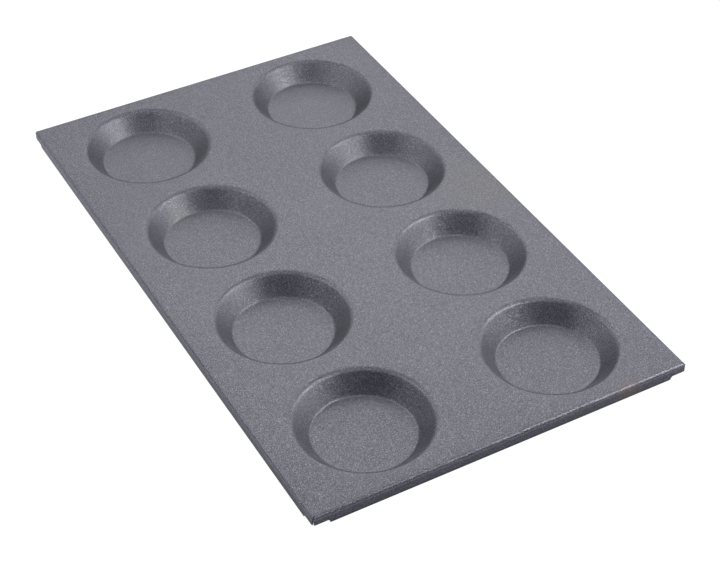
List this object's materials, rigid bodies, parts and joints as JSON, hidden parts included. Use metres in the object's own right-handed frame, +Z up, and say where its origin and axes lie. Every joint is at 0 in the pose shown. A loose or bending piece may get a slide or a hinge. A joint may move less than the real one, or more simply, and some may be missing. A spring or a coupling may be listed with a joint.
{
  "type": "egg pan",
  "caption": "Flat gastronorm-size oven pan with round tapered wells for frying or poaching eggs, edges folded down and under, non-stick coated.",
  "frame": {"origin": "middle of the pan's footprint, on the plane that the wells' floors stand on", "axes": "+Z up out of the wells, +Y along the long side towards the back end, +X across"},
  "size_m": [0.325, 0.53, 0.0187],
  "materials": {
    "bare_aluminium": "rolled aluminium sheet, matt base coat on the underside",
    "slate_coat": "satin slate-grey non-stick film with fine pale specks"
  },
  "bodies": {
    "root": {"pan_sheet": "bare_aluminium", "nonstick_coat": "slate_coat"}
  },
  "joints": []
}
